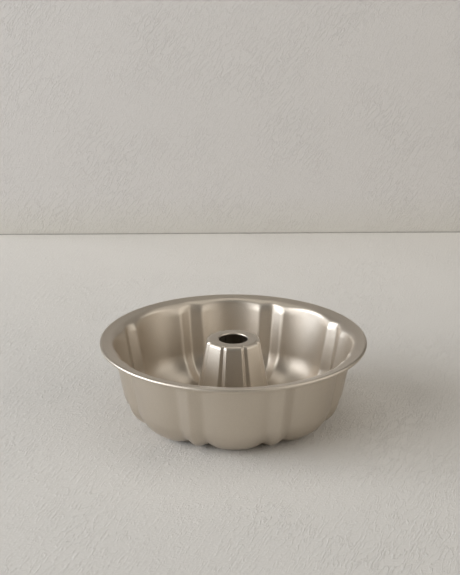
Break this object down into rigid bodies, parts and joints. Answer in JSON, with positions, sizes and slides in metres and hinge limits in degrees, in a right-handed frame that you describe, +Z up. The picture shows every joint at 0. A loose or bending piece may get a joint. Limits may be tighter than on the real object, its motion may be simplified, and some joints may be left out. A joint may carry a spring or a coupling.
{
  "type": "bundt pan",
  "caption": "Fluted ring-shaped cake pan pressed from coated sheet steel, with a hollow centre tube, sloping flange and wired rolled rim.",
  "frame": {"origin": "on the tube's axis, in the plane the pan's feet stand on", "axes": "+Z up along the tube's axis, towards the mouth; a wide lobe of the body faces -Y"},
  "size_m": [0.267, 0.267, 0.0825],
  "materials": {
    "coated_shell": "champagne metallic non-stick coating on steel, satin, faintly pebbled",
    "coated_tube": "champagne metallic non-stick coating on steel, satin, faintly pebbled",
    "wire_steel": "plain drawn steel wire"
  },
  "bodies": {
    "root": {"fluted_shell": "coated_shell", "center_tube": "coated_tube", "rim_wire": "wire_steel"}
  },
  "joints": []
}
